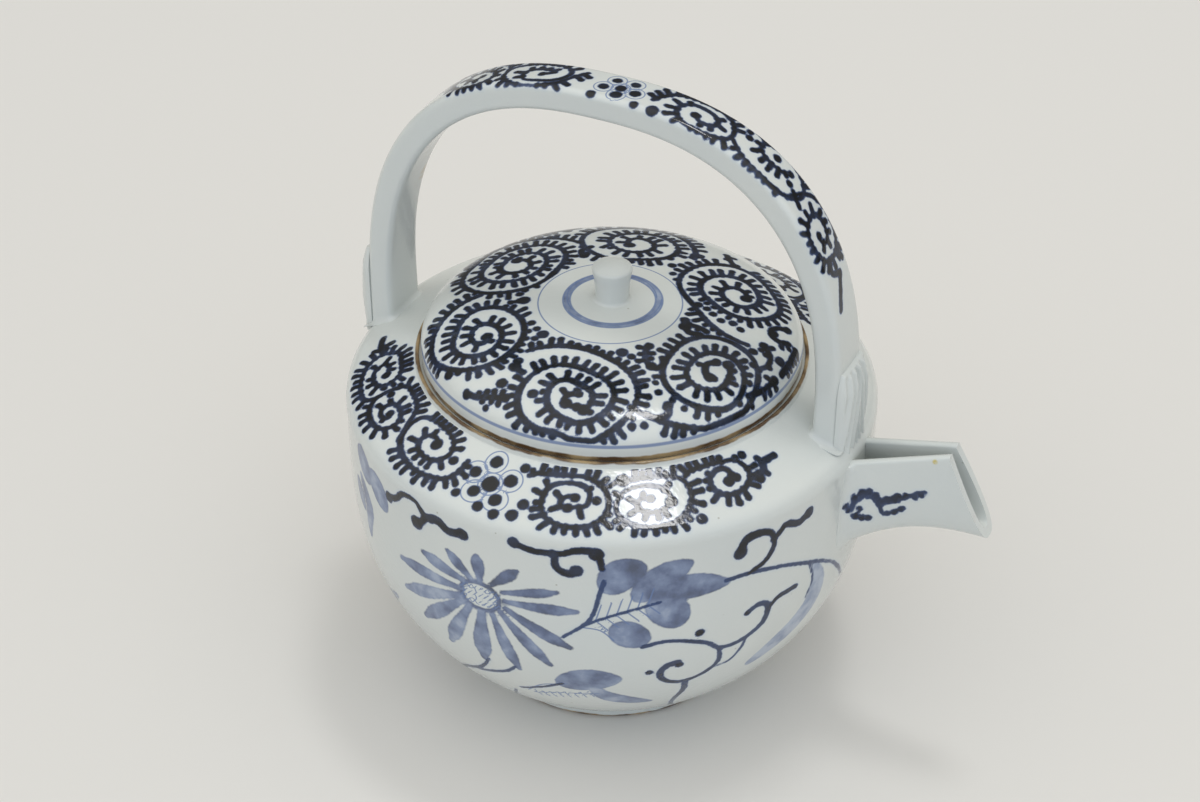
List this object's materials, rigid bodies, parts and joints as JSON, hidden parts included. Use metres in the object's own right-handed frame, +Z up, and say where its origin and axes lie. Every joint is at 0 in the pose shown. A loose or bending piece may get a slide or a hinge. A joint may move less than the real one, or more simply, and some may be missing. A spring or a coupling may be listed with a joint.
{
  "type": "lidded porcelain water pourer",
  "caption": "Round lidded porcelain water pourer with an overhead strap handle and an open spout, painted under a clear glaze.",
  "frame": {"origin": "on the table, below the middle of the length from the rear of the handle to the tip of the spout", "axes": "+X along the spout, +Z up, +Y to the left when looking along the spout"},
  "size_m": [0.2162, 0.17, 0.2112],
  "materials": {
    "white_glaze": "clear bluish glaze over white porcelain, blue painting under the glaze",
    "iron_rim": "thin iron brown dressing on the rim",
    "bare_clay": "unglazed fired porcelain, slightly toasted"
  },
  "bodies": {
    "pot": {"foot_ring": "bare_clay", "bowl": "white_glaze", "shoulder": "white_glaze", "neck_ring": "iron_rim", "spout": "white_glaze", "handle": "white_glaze", "front_leaf": "white_glaze", "rear_leaf": "white_glaze"},
    "lid": {"lid_dome": "white_glaze", "lid_flange": "bare_clay", "lid_knob": "white_glaze"}
  },
  "joints": [
    {"name": "lid_lift", "type": "slide", "parent": "pot", "child": "lid", "axis": [0, 0, 1], "range_m": [0, 0.045]}
  ]
}
